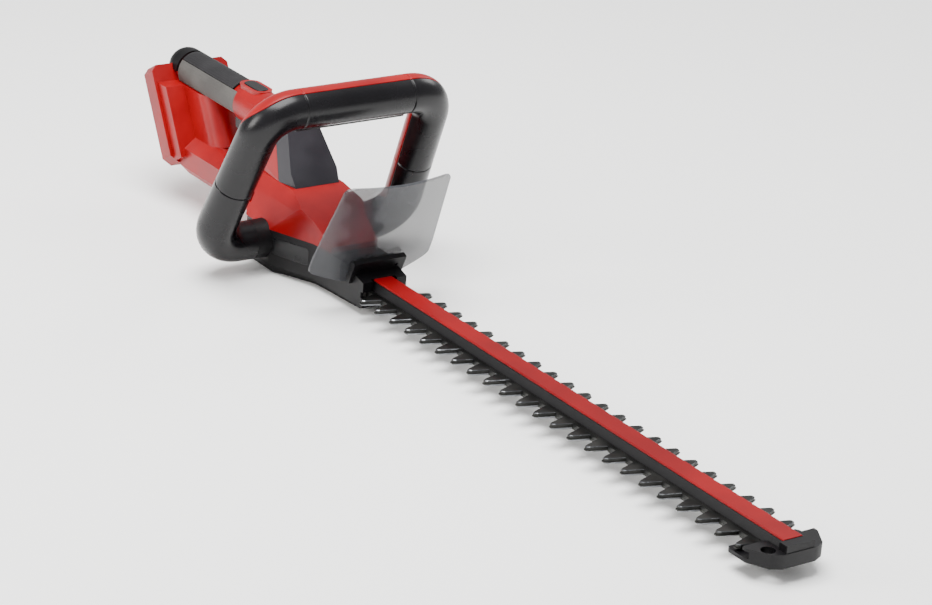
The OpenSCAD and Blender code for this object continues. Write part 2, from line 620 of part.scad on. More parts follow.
// behind this line the tower is moulded with the shells, ahead of it is the motor cover
cover_line = [[-53, seam_z + 33], [-90, tower_z + 6]];
module cover_zone(g) {
    side_slab([[-20, seam_z + 35 + g], [cover_line[0][0] + g, seam_z + 35 + g],
        [cover_line[1][0] + g, cover_line[1][1]], [-20, cover_line[1][1]]], -40, 40);
}
column_x = 49;
pad_drop = 8.2;                                   // the column ends just under the side pads
boss_spots = [[-210, grip_z - 22, 14], [-186, strut_z0 + 15, 24], [-108, strut_z0 + 15, 24],
    [-100, grip_z + 3, 12], [10, seam_z + 9, 16], [-89, seam_z + 26, 15]];
shell_fix_d = 3.5;
module body_shell(side) {
    difference() {
        union() {
            difference() {
                body_solid(0);
                body_solid(wall);
                translate([0, 0, seam_z - 2]) linear_extrude(5) polygon(inset(block_plan, wall));
            }
            intersection() {
                body_solid(1);
                for (b = boss_spots) translate([b[0], 0, b[1]]) along_y() cylinder(r = 4.5, h = 2 * b[2] + 30, center = true);
            }
        }
        cover_zone(0);
        both_sides() translate([foot_x, housing_half - housing_wall - joint_gap, foot_z]) along_y()
            cylinder(r = loop_r + joint_gap, h = 20);
        translate([-400, side > 0 ? -100 : 0, -50]) cube([600, 100, 300]);
        for (b = boss_spots) translate([b[0], b[2], b[1]]) mirror([0, 1, 0]) along_y() {
            cylinder(d = shell_fix_d, h = b[2] * 2 - 3);
            translate([0, 0, -60]) cylinder(d = 7, h = 60 + 3);
        }
        // opening for the lock button and slot for the trigger
        translate([button_x, 0, grip_z]) linear_extrude(30) slot(28 + 2 * slip, 12 + 2 * slip);
        translate([-160, -trigger_w / 2 - slip, grip_z - 30]) cube([64, trigger_w + 2 * slip, 26]);
        translate([pin_x, 0, pin_z]) along_y() cylinder(d = 4, h = 2 * grip_r - 8, center = true);
        // air slots in the flanks
        for (i = [0:2]) translate([-91 + i * 6, side > 0 ? 20 : -50, seam_z + 10]) cube([3, 30, 9]);
        // opening behind the battery seat for the terminal block
        at_seat() translate([seat_slab - 1, -block_half, block_foot]) cube([wall + 2, 2 * block_half, block_h]);
    }
}
module right_shell() { color("crimson") body_shell(-1); }
module left_shell() { color("crimson") body_shell(1); }
module shell_screws() {
    color("dimgray") for (b = boss_spots) translate([b[0], 4 - b[2], b[1]]) along_y()
        screw(shell_fix_d, 6.6, 2.4, 2 * b[2] - 7);
}
module motor_cover() {
    color("#3b3a3e") intersection() {
        difference() { tower(0); tower(wall); }
        cover_zone(joint_gap);
    }
}
module overmould(a0, a1, x0, x1) {
    translate([x0, 0, grip_z]) rotate([90, 0, 90]) rotate([0, 0, a0])
        rotate_extrude(angle = a1 - a0) translate([core_r, 0]) square([grip_r - core_r, x1 - x0]);
}
seat_edge = grip_x0 + 26;
module grip_top() { color("#2e2c2a") overmould(42, 138, seat_edge, button_x - 18 - joint_gap); }
module grip_side_left() { color("#77746f") overmould(-28, 41.5, seat_edge, grip_x1 - joint_gap); }
module grip_side_right() { color("#77746f") overmould(138.5, 208, seat_edge, grip_x1 - joint_gap); }
module grip_end_cap() {
    // half of a turned shell; the axis itself is left open as a small vent
    color("#2b2a2e") translate([grip_x0 + grip_r, 0, grip_z]) rotate([90, 0, 90]) rotate_extrude(angle = 180)
        rotate(90) difference() {
            union() {
                intersection() {
                    circle(r = grip_r);
                    translate([-grip_r, -grip_r]) square([grip_r, grip_r]);
                }
                translate([0, -grip_r]) square([seat_edge - grip_x0 - grip_r - joint_gap, grip_r]);
            }
            circle(r = core_r);
            translate([0, -core_r]) square([60, 2 * core_r]);
            translate([-grip_r - 1, -cap_vent]) square([60, 2 * cap_vent]);
        }
}
module lock_bezel() {
    color("crimson") translate([button_x, 0, 0]) difference() {
        translate([0, 0, grip_z + 8]) linear_extrude(grip_r - 7.6) slot(36, 19);
        translate([0, 0, grip_z]) linear_extrude(30) slot(28 + 2 * slip, 12 + 2 * slip);
        translate([-40, 0, grip_z]) along_x() cylinder(r = core_r + tiny, h = 80);
        translate([grip_x1 - button_x - tiny, 0, grip_z]) along_x() cylinder(r = grip_r + tiny, h = 80);
    }
}
button_foot = grip_z + 9;
switch_z0 = grip_z - 7;
switch_h = 8;
module lock_button() {
    color("#1c1d20") translate([button_x, 0, 0]) union() {
        translate([0, 0, button_foot]) linear_extrude(grip_r - 8) slot(28, 12);
        translate([0, 0, button_foot - 1.5]) linear_extrude(2) slot(33, 14);
    }
}
module lock_spring() {
    color("silver") translate([button_x, 0, switch_z0 + switch_h + 0.5]) coil(3, 0.7, button_foot - 1.5 - switch_z0 - switch_h - 1, 3);
}
spring_x = -136;
pocket_z = grip_z - 20.5;
module trigger() {
    outline = [[-98, pin_z - 4], [-99, pin_z + 3], [-110, pin_z + 4], [-116, pin_z - 4], [-156, grip_z - 14],
        [-158, grip_z - 17], [-157, grip_z - 24], [-141, grip_z - 31], [-120, grip_z - 30], [-101, grip_z - 22]];
    color("#1f2023") difference() {
        side_slab(outline, -trigger_w / 2, trigger_w / 2);
        translate([pin_x, 0, pin_z]) along_y() cylinder(d = 4 + 2 * run_gap, h = 40, center = true);
        translate([spring_x - 6, -4, pocket_z]) cube([12, 8, 12]);
    }
}
module trigger_pin() {
    color("silver") translate([pin_x, 0, pin_z]) along_y() cylinder(d = 4, h = 2 * grip_r - 8, center = true);
}
module trigger_spring() {
    color("silver") translate([spring_x, 0, pocket_z + 0.5]) coil(2.6, 0.8, switch_z0 - pocket_z - 1, 4);
}
module main_switch() {
    color("#303338") difference() {
        translate([-144, -8, switch_z0]) cube([28, 16, switch_h]);
        for (x = [-140, -120]) translate([x, 0, switch_z0 - 1]) cylinder(d = 2.5, h = switch_h + 2);
    }
}
module control_board() {
    color("darkgreen") translate([-148, -15, strut_z0 + 12]) cube([32, 30, 1.6]);
    color("dimgray") for (i = [0:2]) translate([-146 + i * 11, -8, strut_z0 + 13.6 - tiny]) cube([8, 10, 7]);
}
lead_d = 3;
// a lead of round wire along points that all lie in one plane of constant y
module lead(points, d) {
    n = len(points) - 1;
    function dir(i) = let (v = points[min(i + 1, n)] - points[max(i - 1, 0)]) v / norm(v);
    pts = [for (i = [0:n]) for (j = [0:7]) let (t = dir(i), side = [-t[2], 0, t[0]], b = 45 * j)
        points[i] + d / 2 * (cos(b) * side + sin(b) * [0, 1, 0])];
    sides = [for (i = [0:n - 1]) for (j = [0:7])
        [i * 8 + j, (i + 1) * 8 + j, (i + 1) * 8 + (j + 1) % 8, i * 8 + (j + 1) % 8]];
    polyhedron(points = pts, faces = concat([[for (j = [0:7]) j]], sides,
        [[for (j = [7:-1:0]) n * 8 + j]]));
}
module power_leads() {
    start = [seat_x + 8.7, 28 + seat_z];
    color("#b02020") for (y = [-6, 6]) lead([[start[0], y, start[1]], [-201, y, grip_z - 42],
        [-198, y, grip_z - 22], [-194, y, grip_z - 10], [-174, y, grip_z - 3], [-144.2, y, grip_z - 2]], lead_d);
    color("#202020") for (y = [-12, 12]) lead([[start[0], y, start[1]], [-202, y, strut_z0 + 26],
        [-178, y, strut_z0 + 24], [-160, y, strut_z0 + 18], [-147, y, strut_z0 + 15.3]], lead_d);
}

// ---- battery seat
module battery_seat() {
    lip = 4;
    color("#c0232a") difference() {
        seat_body(lip);
        translate([grip_x0 + grip_r, 0, grip_z]) intersection() {
            union() {
                sphere(r = grip_r + joint_gap);
                along_x() cylinder(r = grip_r + joint_gap, h = 40);
            }
            translate([-50, -50, -joint_gap]) cube(100);
        }
    }
}
module seat_body(lip) {
    at_seat() difference() {
        intersection() {
            translate([0, -seat_w / 2, 0]) cube([seat_slab, seat_w, seat_h]);
            rotate([90, 0, 90]) linear_extrude(seat_slab) polygon([[-seat_w / 2 + 7, 0], [seat_w / 2 - 7, 0],
                [seat_w / 2, 7], [seat_w / 2, seat_h - 5], [seat_w / 2 - 5, seat_h], [-seat_w / 2 + 5, seat_h],
                [-seat_w / 2, seat_h - 5], [-seat_w / 2, 7]]);
        }
        translate([lip, -channel_half, 8]) cube([channel_deep - lip, 2 * channel_half, seat_h]);
        translate([-1, -channel_half + lip, 8]) cube([channel_deep, 2 * (channel_half - lip), seat_h]);
        translate([channel_deep - 1, -block_half, block_foot]) cube([20, 2 * block_half, block_h]);
    }
}
module terminal_block() {
    color("#202124") at_seat() difference() {
        union() {
            translate([channel_deep - 1 + joint_gap, -block_half + joint_gap, block_foot + joint_gap])
                cube([12, 2 * (block_half - joint_gap), block_h - 2 * joint_gap]);
            translate([3.5, -20, 11]) cube([channel_deep - 3.6, 40, 3]);
        }
        for (i = [-2:2]) translate([2, i * 6 - 0.4, 16]) cube([30, 0.8, 8]);
    }
}
module terminals() {
    color("#c98a4b") at_seat() for (i = [-2:2]) translate([3, i * 6 - 0.4, 16]) cube([16, 0.8, 8]);
}

// ---- loop handle, drawn in its own leaning frame: Y across, Z up the rake
leg_top = [loop_w / 2, loop_v];
leg_foot = [loop_w / 2 + loop_v * tan(splay), 0];
top_c = [leg_top[0] - top_bend * tan(45 - splay / 2), loop_v - top_bend];
foot_c = [leg_foot[0] - foot_bend * tan(45 + splay / 2), foot_bend];
// carries a profile (X outwards, Y ahead) round the loop, which lies in the (across, up) plane;
// the straight runs use the thinner second profile and reach 1 mm into each bend
module run(from, dir, length) {
    translate([from[0], from[1], 0]) rotate([0, 0, dir]) rotate([90, 0, 0]) linear_extrude(length) children();
}
module bend(c, r_bend, a0, a1) {
    translate([c[0], c[1], 0]) rotate([0, 0, a0]) rotate_extrude(angle = a1 - a0) translate([r_bend, 0]) children();
}
module half_way() {
    lo = foot_c + foot_bend * [cos(splay), sin(splay)];
    hi = top_c + top_bend * [cos(splay), sin(splay)];
    along = [-sin(splay), cos(splay)];
    bend(top_c, top_bend, splay, 90) children(0);
    run(hi + along, splay, norm(hi - lo) + 2) children(1);
    bend(foot_c, foot_bend, -90, splay) children(0);
    run([foot_c[0] + 1, 0], -90, foot_c[0] + 1 - ear_y - joint_gap) children(1);
}
module round_the_loop() {
    rotate([90, 0, 90]) {
        run([-top_c[0] - 1, loop_v], 90, 2 * top_c[0] + 2) children(1);
        half_way() { children(0); children(1); }
        mirror([1, 0, 0]) half_way() { children(0); children(1); }
    }
}
module half_ring(side, thin) {
    difference() {
        circle(loop_r - thin);
        circle(loop_in + thin);
        translate([-loop_r - 1, side > 0 ? -loop_r - 2 : 0]) square([2 * loop_r + 2, loop_r + 2]);
    }
}
bar_y = 52;
bar_half_w = 7;
module loop_half(side) {
    at_loop() difference() {
        round_the_loop() {
            half_ring(side, 0);
            half_ring(side, 0.05);
        }
        translate([-bar_half_w - slip, -bar_y - slip, loop_v - loop_r - 5])
            cube([2 * (bar_half_w + slip), 2 * (bar_y + slip), loop_r + 5 - 6]);
        both_sides() translate([-loop_r - 1, ear_y + 8, 0]) along_x() {
            cylinder(d = base_fix_d + 0.4, h = 2 * loop_r + 2);
            cylinder(d = 8.4, h = 4);
        }
    }
}
module loop_front() { color("#232227") loop_half(1); }
module loop_rear() { color("crimson") loop_half(-1); }
module loop_screws() {
    color("dimgray") at_loop() both_sides() translate([loop_in - 1, ear_y + 8, 0]) rotate([0, -90, 0])
        screw(base_fix_d, 8, 2, loop_in - 1 + loop_r - 3);
}
module switch_bar() {
    lip_v = loop_v - 8.7;
    color("#2b2a2f") at_loop() union() {
        translate([-bar_half_w, -bar_y, loop_v - loop_r - 2.5]) cube([2 * bar_half_w, 2 * bar_y, lip_v + 1 - loop_v + loop_r + 2.5]);
        translate([-bar_half_w - 1.5, -bar_y + 2, lip_v]) cube([2 * bar_half_w + 3, 2 * bar_y - 4, 2.7]);
    }
}
module bar_springs() {
    color("silver") at_loop() both_sides() translate([0, 34, loop_v - 5.5]) coil(3, 0.8, 17.7, 6);
}
module loop_switch() {
    color("#303338") at_loop() translate([-6, -10, loop_v - 2]) cube([12, 20, 7]);
}

// ---- hand shield
shield_bow = 220;
shield_h = 101;
shield_foot = 27;
shield_corner = 58;
module shield_sheet(grow, z0) {
    translate([-shield_bow, 0, z0]) difference() {
        cylinder(r = shield_bow + shield_t + grow, h = 130, $fn = 180);
        translate([0, 0, -1]) cylinder(r = shield_bow - grow, h = 132, $fn = 180);
    }
}
module shield() {
    outline = both([[slot_foot, nose_half + 2.2], [0, nose_half + 2.2], [0, shield_foot], [8.7, shield_corner - 3], [11, shield_corner], [24, shield_corner],
        [shield_h - 2, shield_w / 2 + 1.5], [shield_h, shield_w / 2]]);
    color("#9a9488", 0.5) at_shield() difference() {
        intersection() {
            shield_sheet(0, 0);
            rotate([90, 0, 90]) translate([0, 0, -30]) linear_extrude(60) polygon(swapped(outline));
        }
        for (s = [-1, 1]) translate([-10, s * 17, shield_fix_z]) along_x() cylinder(d = fix_d + 0.6, h = 30);
    }
}
module shield_screws() {
    color("dimgray") at_shield() for (s = [-1, 1]) translate([6.5, s * 17, shield_fix_z]) mirror([1, 0, 0]) along_x()
        screw(fix_d, 6.5, 1.8, 7.4);
}

upper_blade();
lower_blade();
guide_bar();
bar_channel();
bar_cover();
guide_bolts();
guide_nuts();
tip_guard();
tip_guard_screws();
gear_housing();
base_plate();
base_screws();
bar_screws();
gear_frame();
blade_seal();
crankshaft();
crank_gear();
upper_eccentric();
lower_eccentric();
crank_bearings();
motor_can();
motor_rotor();
motor_fan();
motor_pinion();
motor_bearings();
motor_end_cap();
brush_holders();
right_shell();
left_shell();
shell_screws();
motor_cover();
grip_top();
grip_side_right();
grip_side_left();
grip_end_cap();
lock_bezel();
lock_button();
lock_spring();
trigger();
trigger_pin();
trigger_spring();
main_switch();
control_board();
battery_seat();
terminal_block();
terminals();
power_leads();
loop_front();
loop_rear();
loop_screws();
switch_bar();
bar_springs();
loop_switch();
shield();
shield_screws();
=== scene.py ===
import json
import math
import bmesh
import bpy
import numpy as np
from mathutils import Matrix, Vector

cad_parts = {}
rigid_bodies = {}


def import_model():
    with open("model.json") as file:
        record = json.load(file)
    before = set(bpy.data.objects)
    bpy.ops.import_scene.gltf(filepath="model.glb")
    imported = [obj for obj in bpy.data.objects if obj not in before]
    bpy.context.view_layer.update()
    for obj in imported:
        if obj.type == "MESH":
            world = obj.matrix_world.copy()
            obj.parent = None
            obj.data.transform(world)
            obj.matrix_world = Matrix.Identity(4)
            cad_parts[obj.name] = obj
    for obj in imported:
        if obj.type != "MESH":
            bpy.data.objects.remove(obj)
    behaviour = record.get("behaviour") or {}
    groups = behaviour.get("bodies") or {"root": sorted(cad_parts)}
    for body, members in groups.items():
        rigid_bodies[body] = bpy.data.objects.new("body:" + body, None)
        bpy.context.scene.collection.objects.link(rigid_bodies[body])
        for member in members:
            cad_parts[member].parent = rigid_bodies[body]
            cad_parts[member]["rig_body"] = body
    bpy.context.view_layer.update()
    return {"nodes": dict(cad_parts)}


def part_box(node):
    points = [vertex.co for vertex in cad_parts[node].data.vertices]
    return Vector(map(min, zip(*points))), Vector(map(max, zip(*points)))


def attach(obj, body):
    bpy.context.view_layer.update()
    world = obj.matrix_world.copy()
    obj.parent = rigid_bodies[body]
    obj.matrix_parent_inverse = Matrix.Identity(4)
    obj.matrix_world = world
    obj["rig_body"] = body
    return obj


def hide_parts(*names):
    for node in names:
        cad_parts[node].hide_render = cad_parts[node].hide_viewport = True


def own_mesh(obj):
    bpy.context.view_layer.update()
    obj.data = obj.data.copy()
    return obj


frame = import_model()
nodes = frame["nodes"]
mm = 0.001
print("frame loaded:", len(nodes), "nodes")

# camera, floor and light
cameraView = {"turn": 35.775, "height": 21.948, "roll": -4.431, "lens": 120.82, "sensor": 36.0,
              "farthest": 50.0, "place": (2.0342, -1.3270, 0.9665)}
studio = {
    "floorSize": 14.0, "floorDrop": 0.0005, "floorTone": "#FAFAF9",
    "floorGrain": 60.0, "floorRough": (0.8, 0.9), "worldTone": "#FFFFFF", "worldStrength": 0.62,
    "lamps": [  # name, place, aim, size, watts, tone
        ("overheadBox", (0.25, -0.35, 2.1), (0.15, 0.0, 0.05), 1.6, 120.0, "#FFFFFF"),
        ("sideBox", (-0.5, -2.0, 0.9), (0.0, 0.0, 0.08), 0.9, 34.0, "#FFFDFA"),
        ("rimBox", (-0.5, 2.1, 1.5), (0.1, 0.0, 0.1), 1.0, 22.0, "#FFFFFF"),
    ],
}


def linear(tone):
    # each sRGB channel goes through the standard curve to linear light
    c = np.array([int(tone[i:i + 2], 16) / 255.0 for i in (1, 3, 5)])
    c = np.where(c <= 0.04045, c / 12.92, ((c + 0.055) / 1.055) ** 2.4)
    return (*[float(v) for v in c], 1.0)


def placeCamera(view):
    az, el, roll = (math.radians(view[k]) for k in ("turn", "height", "roll"))
    back = Vector((math.cos(az) * math.cos(el), -math.sin(az) * math.cos(el), math.sin(el)))
    right = Vector((0, 0, 1)).cross(back).normalized()
    up = back.cross(right)
    across = math.cos(roll) * right - math.sin(roll) * up
    upright = math.sin(roll) * right + math.cos(roll) * up
    data = bpy.data.cameras.new("viewCamera")
    data.lens, data.sensor_width, data.sensor_fit = view["lens"], view["sensor"], "HORIZONTAL"
    data.clip_end = view["farthest"]
    camera = bpy.data.objects.new("viewCamera", data)
    turn = Matrix((across, upright, back)).transposed().to_4x4()
    camera.matrix_world = Matrix.Translation(view["place"]) @ turn
    bpy.context.scene.collection.objects.link(camera)
    bpy.context.scene.camera = camera


placeCamera(cameraView)


def addNode(tree, kind, settings=None, inputs=None):
    # adds one node, sets its properties, and fills or links each named or numbered input; on a map
    # range 0 is the value, 1 and 2 its span, 3 and 4 the result's; on a mix 0 is the share, 6 and 7 the ends
    node = tree.nodes.new(kind)
    for name, value in (settings or {}).items():
        setattr(node, name, value)
    for name, value in (inputs or {}).items():
        if isinstance(value, bpy.types.NodeSocket):
            tree.links.new(value, node.inputs[name])
        else:
            node.inputs[name].default_value = value
    return node


def lightStudio(facts):
    world = bpy.data.worlds.new("paleRoom")
    bpy.context.scene.world = world
    world.use_nodes = True
    sky = world.node_tree.nodes["Background"]
    sky.inputs["Color"].default_value = linear(facts["worldTone"])
    sky.inputs["Strength"].default_value = facts["worldStrength"]
    for name, place, aim, size, watts, tone in facts["lamps"]:
        data = bpy.data.lights.new(name, "AREA")
        data.energy, data.shape, data.size = watts, "SQUARE", size
        data.color = linear(tone)[:3]
        lamp = bpy.data.objects.new(name, data)
        lamp.location = place
        lamp.rotation_euler = (Vector(aim) - Vector(place)).to_track_quat("-Z", "Y").to_euler()
        bpy.context.scene.collection.objects.link(lamp)
    half, drop = facts["floorSize"] / 2, facts["floorDrop"]
    mesh = bpy.data.meshes.new("paleFloor")
    corners = [(-half, -half, -drop), (half, -half, -drop), (half, half, -drop), (-half, half, -drop)]
    mesh.from_pydata(corners, [], [(0, 1, 2, 3)])
    floor = bpy.data.objects.new("paleFloor", mesh)
    bpy.context.scene.collection.objects.link(floor)
    paper = bpy.data.materials.new("paleBoard")
    paper.use_nodes = True
    tree = paper.node_tree
    shader = tree.nodes["Principled BSDF"]
    where = addNode(tree, "ShaderNodeTexCoord")
    grain = addNode(tree, "ShaderNodeTexNoise", {}, {
        "Vector": where.outputs["Object"], "Scale": facts["floorGrain"]})
    low, high = facts["floorRough"]
    tone = addNode(tree, "ShaderNodeMapRange", {}, {0: grain.outputs["Fac"], 3: low, 4: high})
    tree.links.new(tone.outputs[0], shader.inputs["Roughness"])
    shader.inputs["Base Color"].default_value = linear(facts["floorTone"])
    mesh.materials.append(paper)


lightStudio(studio)
print("camera and studio set")

# finishes
# Lengths are in mm: patch is the size of slow colour drift, grain that of the surface texture, streak
# stretches the grain along one axis as a tool or a brush leaves it. Rise is the depth of the relief,
# rough the spread of the roughness, and gleam the strength of the highlight on a plastic.
finishes = {
    # moulded ABS with a satin polished tool: soft broad highlights and a faint orange peel
    "mouldedRed": {"tone": "#8E0409", "deep": "#7A0308", "patch": 38, "grain": 0.9, "rise": 0.05,
                   "rough": (0.3, 0.4), "gleam": 0.3, "ior": 1.52},
    # painted strip on the rail, duller than the shells, with a texture that runs along the blade
    "railRed": {"tone": "#7C0309", "deep": "#6B0308", "patch": 60, "grain": 0.8, "rise": 0.04,
                "rough": (0.34, 0.44), "streak": (0.12, 1, 1), "gleam": 0.16, "ior": 1.52},
    # glass-filled nylon from a spark-eroded tool: even fine pits that break up the highlight
    "mouldedBlack": {"tone": "#080709", "deep": "#050406", "patch": 26, "grain": 0.7, "rise": 0.16,
                     "rough": (0.36, 0.48), "gleam": 0.2, "ior": 1.53},
    # the same nylon, a shade lighter, on the motor cover
    "mouldedCharcoal": {"tone": "#28272C", "deep": "#201F24", "patch": 30, "grain": 0.7, "rise": 0.12,
                        "rough": (0.34, 0.44), "gleam": 0.3, "ior": 1.53},
    # thermoplastic elastomer: dull, with raised dots that the thumb can feel
    "softBlack": {"tone": "#1E1D1F", "deep": "#161517", "patch": 22, "grain": 1.5, "rise": 0.35, "dots": True,
                  "rough": (0.55, 0.7), "gleam": 0.3, "ior": 1.5},
    "softGrey": {"tone": "#4C4A47", "deep": "#3F3D3B", "patch": 22, "grain": 1.5, "rise": 0.3, "dots": True,
                 "rough": (0.55, 0.7), "gleam": 0.35, "ior": 1.5},
    # overmoulded loop: elastomer over nylon, smoother, so it keeps one long soft highlight
    "loopBlack": {"tone": "#0D0C0F", "deep": "#08070A", "patch": 40, "grain": 0.8, "rise": 0.1,
                  "rough": (0.22, 0.32), "gleam": 0.28, "ior": 1.51},
    # acetal levers and buttons: slick, slightly waxy
    "slickBlack": {"tone": "#111113", "deep": "#0C0C0E", "patch": 18, "grain": 0.6, "rise": 0.06,
                   "rough": (0.24, 0.32), "gleam": 0.3, "ior": 1.48},
    # smoked polycarbonate sheet: clear grey, with rubbed dust that only shows in the gloss
    "smokedSheet": {"tone": "#3F4044", "deep": "#37383B", "patch": 45, "grain": 2.5, "rise": 0.02,
                    "rough": (0.1, 0.2), "gleam": 0.35, "alpha": 0.62, "ior": 1.585},
    # laser-cut spring steel with a dark scale, drawn marks along the blade
    "blackedBlade": {"tone": "#3A3A38", "deep": "#262625", "patch": 16, "grain": 0.9, "rise": 0.1,
                     "rough": (0.3, 0.5), "streak": (0.1, 1, 1), "metallic": 0.9},
    # diamond-ground tooth flanks: bare metal with grinding lines across the edge
    "groundEdge": {"tone": "#85878A", "deep": "#66686C", "patch": 6, "grain": 0.5, "rise": 0.12,
                   "rough": (0.18, 0.32), "streak": (1, 0.12, 1), "metallic": 1.0},
    # phosphated bar
    "blackedBar": {"tone": "#323236", "deep": "#26262A", "patch": 20, "grain": 0.8, "rise": 0.1,
                   "rough": (0.42, 0.56), "metallic": 0.7},
    # bright zinc on turned and rolled steel
    "brightZinc": {"tone": "#C4C6CA", "deep": "#A8ABB1", "patch": 5, "grain": 0.6, "rise": 0.06,
                   "rough": (0.2, 0.32), "metallic": 1.0},
    # oiled black screws
    "oiledScrew": {"tone": "#55565B", "deep": "#3F4045", "patch": 3, "grain": 0.5, "rise": 0.06,
                   "rough": (0.3, 0.42), "metallic": 1.0},
    # pressure-cast aluminium: slightly frosted skin with flow marks
    "castAluminium": {"tone": "#B3B5B8", "deep": "#989A9E", "patch": 12, "grain": 1.0, "rise": 0.18,
                      "rough": (0.42, 0.58), "metallic": 1.0},
    # sintered bronze gear: tiny open pores hold oil
    "sinteredBronze": {"tone": "#B08A4E", "deep": "#8C6A38", "patch": 4, "grain": 0.5, "rise": 0.3,
                       "rough": (0.4, 0.55), "metallic": 1.0},
    # zinc-plated drawn motor can, marks running up the draw
    "drawnCan": {"tone": "#9A9CA1", "deep": "#84868C", "patch": 14, "grain": 0.7, "rise": 0.08,
                 "rough": (0.28, 0.4), "streak": (1, 1, 0.08), "metallic": 1.0},
    # enamelled copper wire wound over the core: fine turns, warm and glossy
    "woundCopper": {"tone": "#A4552B", "deep": "#70341A", "patch": 3, "grain": 0.6, "rise": 0.5,
                    "rough": (0.25, 0.35), "streak": (1, 1, 0.1), "metallic": 0.9},
    "contactBrass": {"tone": "#C29A4B", "deep": "#A37E39", "patch": 3, "grain": 0.5, "rise": 0.05,
                     "rough": (0.2, 0.3), "metallic": 1.0},
    # solder mask over glass weave
    "maskGreen": {"tone": "#1E5B33", "deep": "#174A29", "patch": 4, "grain": 0.8, "rise": 0.1,
                  "rough": (0.25, 0.35), "ior": 1.5},
    # silicone lead cover
    "leadRed": {"tone": "#8E1D20", "deep": "#74171A", "patch": 10, "grain": 0.6, "rise": 0.05,
                "rough": (0.4, 0.5), "ior": 1.42},
    # pressed wool felt: matt, with loose fibres that catch light at the edge
    "woolFelt": {"tone": "#4B4744", "deep": "#393634", "patch": 3, "grain": 0.4, "rise": 0.8,
                 "rough": (0.85, 0.95), "sheen": 0.4, "ior": 1.45},
}


surface = {"driftDetail": 3.0, "driftSpan": (0.35, 0.65), "glossSpan": (0.3, 0.7), "grainDetail": 2.0,
           "dotJitter": 0.35, "dotEdge": (0.1, 0.55), "reliefShare": 0.3}


def makeFinish(name, facts):
    # slow noise drifts the colour between two tones, fine noise gives the texture and the gloss spread
    finish = bpy.data.materials.new(name)
    finish.use_nodes = True
    tree = finish.node_tree
    shader = tree.nodes["Principled BSDF"]
    where = addNode(tree, "ShaderNodeTexCoord")
    turned = addNode(tree, "ShaderNodeMapping", {}, {"Vector": where.outputs["Object"],
                                                     "Scale": facts.get("streak", (1, 1, 1))})
    drift = addNode(tree, "ShaderNodeTexNoise", {}, {
        "Vector": where.outputs["Object"], "Scale": 1 / (facts["patch"] * mm),
        "Detail": surface["driftDetail"]})
    low, high = surface["driftSpan"]
    blend = addNode(tree, "ShaderNodeMapRange", {}, {0: drift.outputs["Fac"], 1: low, 2: high})
    tone = addNode(tree, "ShaderNodeMix", {"data_type": "RGBA"}, {
        0: blend.outputs[0], 6: linear(facts["deep"]), 7: linear(facts["tone"])})
    tree.links.new(tone.outputs[2], shader.inputs["Base Color"])
    size = 1 / (facts["grain"] * mm)
    if facts.get("dots"):
        cells = addNode(tree, "ShaderNodeTexVoronoi", {"feature": "F1"}, {
            "Vector": turned.outputs["Vector"], "Scale": size,
            "Randomness": surface["dotJitter"]})
        low, high = surface["dotEdge"]
        relief = addNode(tree, "ShaderNodeMapRange", {}, {
            0: cells.outputs["Distance"], 1: low, 2: high, 3: 1.0, 4: 0.0}).outputs[0]
    else:
        relief = addNode(tree, "ShaderNodeTexNoise", {}, {
            "Vector": turned.outputs["Vector"], "Scale": size,
            "Detail": surface["grainDetail"]}).outputs["Fac"]
    (low, high), (smooth, coarse) = surface["glossSpan"], facts["rough"]
    gloss = addNode(tree, "ShaderNodeMapRange", {}, {
        0: drift.outputs["Fac"], 1: low, 2: high, 3: smooth, 4: coarse})
    tree.links.new(gloss.outputs[0], shader.inputs["Roughness"])
    bump = addNode(tree, "ShaderNodeBump", {}, {
        "Strength": facts["rise"], "Distance": facts["grain"] * mm * surface["reliefShare"],
        "Height": relief})
    tree.links.new(bump.outputs["Normal"], shader.inputs["Normal"])
    shader.inputs["Metallic"].default_value = facts.get("metallic", 0.0)
    shader.inputs["Specular IOR Level"].default_value = facts.get("gleam", 0.5)
    shader.inputs["Sheen Weight"].default_value = facts.get("sheen", 0.0)
    if "ior" in facts:
        shader.inputs["IOR"].default_value = facts["ior"]
    if "alpha" in facts:
        shader.inputs["Alpha"].default_value = facts["alpha"]
    return finish


finishOf = {name: makeFinish(name, facts) for name, facts in finishes.items()}

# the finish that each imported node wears, by what it is made of
wears = {
    "blackedBlade": ["upper_blade", "lower_blade"],
    "blackedBar": ["guide_bar"],
    "mouldedBlack": ["bar_channel", "tip_guard", "gear_housing", "grip_end_cap", "motor_end_cap",
                     "terminal_block", "motor_fan"],
    "railRed": ["bar_cover"],
    "mouldedRed": ["right_shell", "left_shell", "lock_bezel", "battery_seat", "loop_rear"],
    "mouldedCharcoal": ["motor_cover"],
    "loopBlack": ["loop_front"],
    "softBlack": ["grip_top"],
    "softGrey": ["grip_side_right", "grip_side_left"],
    "slickBlack": ["lock_button", "trigger", "switch_bar", "main_switch", "loop_switch"],
    "smokedSheet": ["shield"],
    "brightZinc": ["guide_bolts", "guide_nuts", "crankshaft", "upper_eccentric", "lower_eccentric",
                   "motor_pinion", "crank_bearings", "motor_bearings", "trigger_pin", "lock_spring",
                   "trigger_spring", "bar_springs"],
    "oiledScrew": ["tip_guard_screws", "base_screws", "bar_screws", "shell_screws", "loop_screws",
                   "shield_screws"],
    "castAluminium": ["base_plate", "gear_frame"],
    "sinteredBronze": ["crank_gear"],
    "drawnCan": ["motor_can"],
    "woundCopper": ["motor_rotor"],
    "contactBrass": ["brush_holders", "terminals"],
    "maskGreen": ["control_board"],
    "leadRed": ["power_leads"],
    "woolFelt": ["blade_seal"],
}
finishOfNode = {}
for finishName, members in wears.items():
    for member in members:
        finishOfNode[member] = finishOf[finishName]
        mesh = nodes[member].data
        mesh.materials.clear()
        mesh.materials.append(finishOf[finishName])
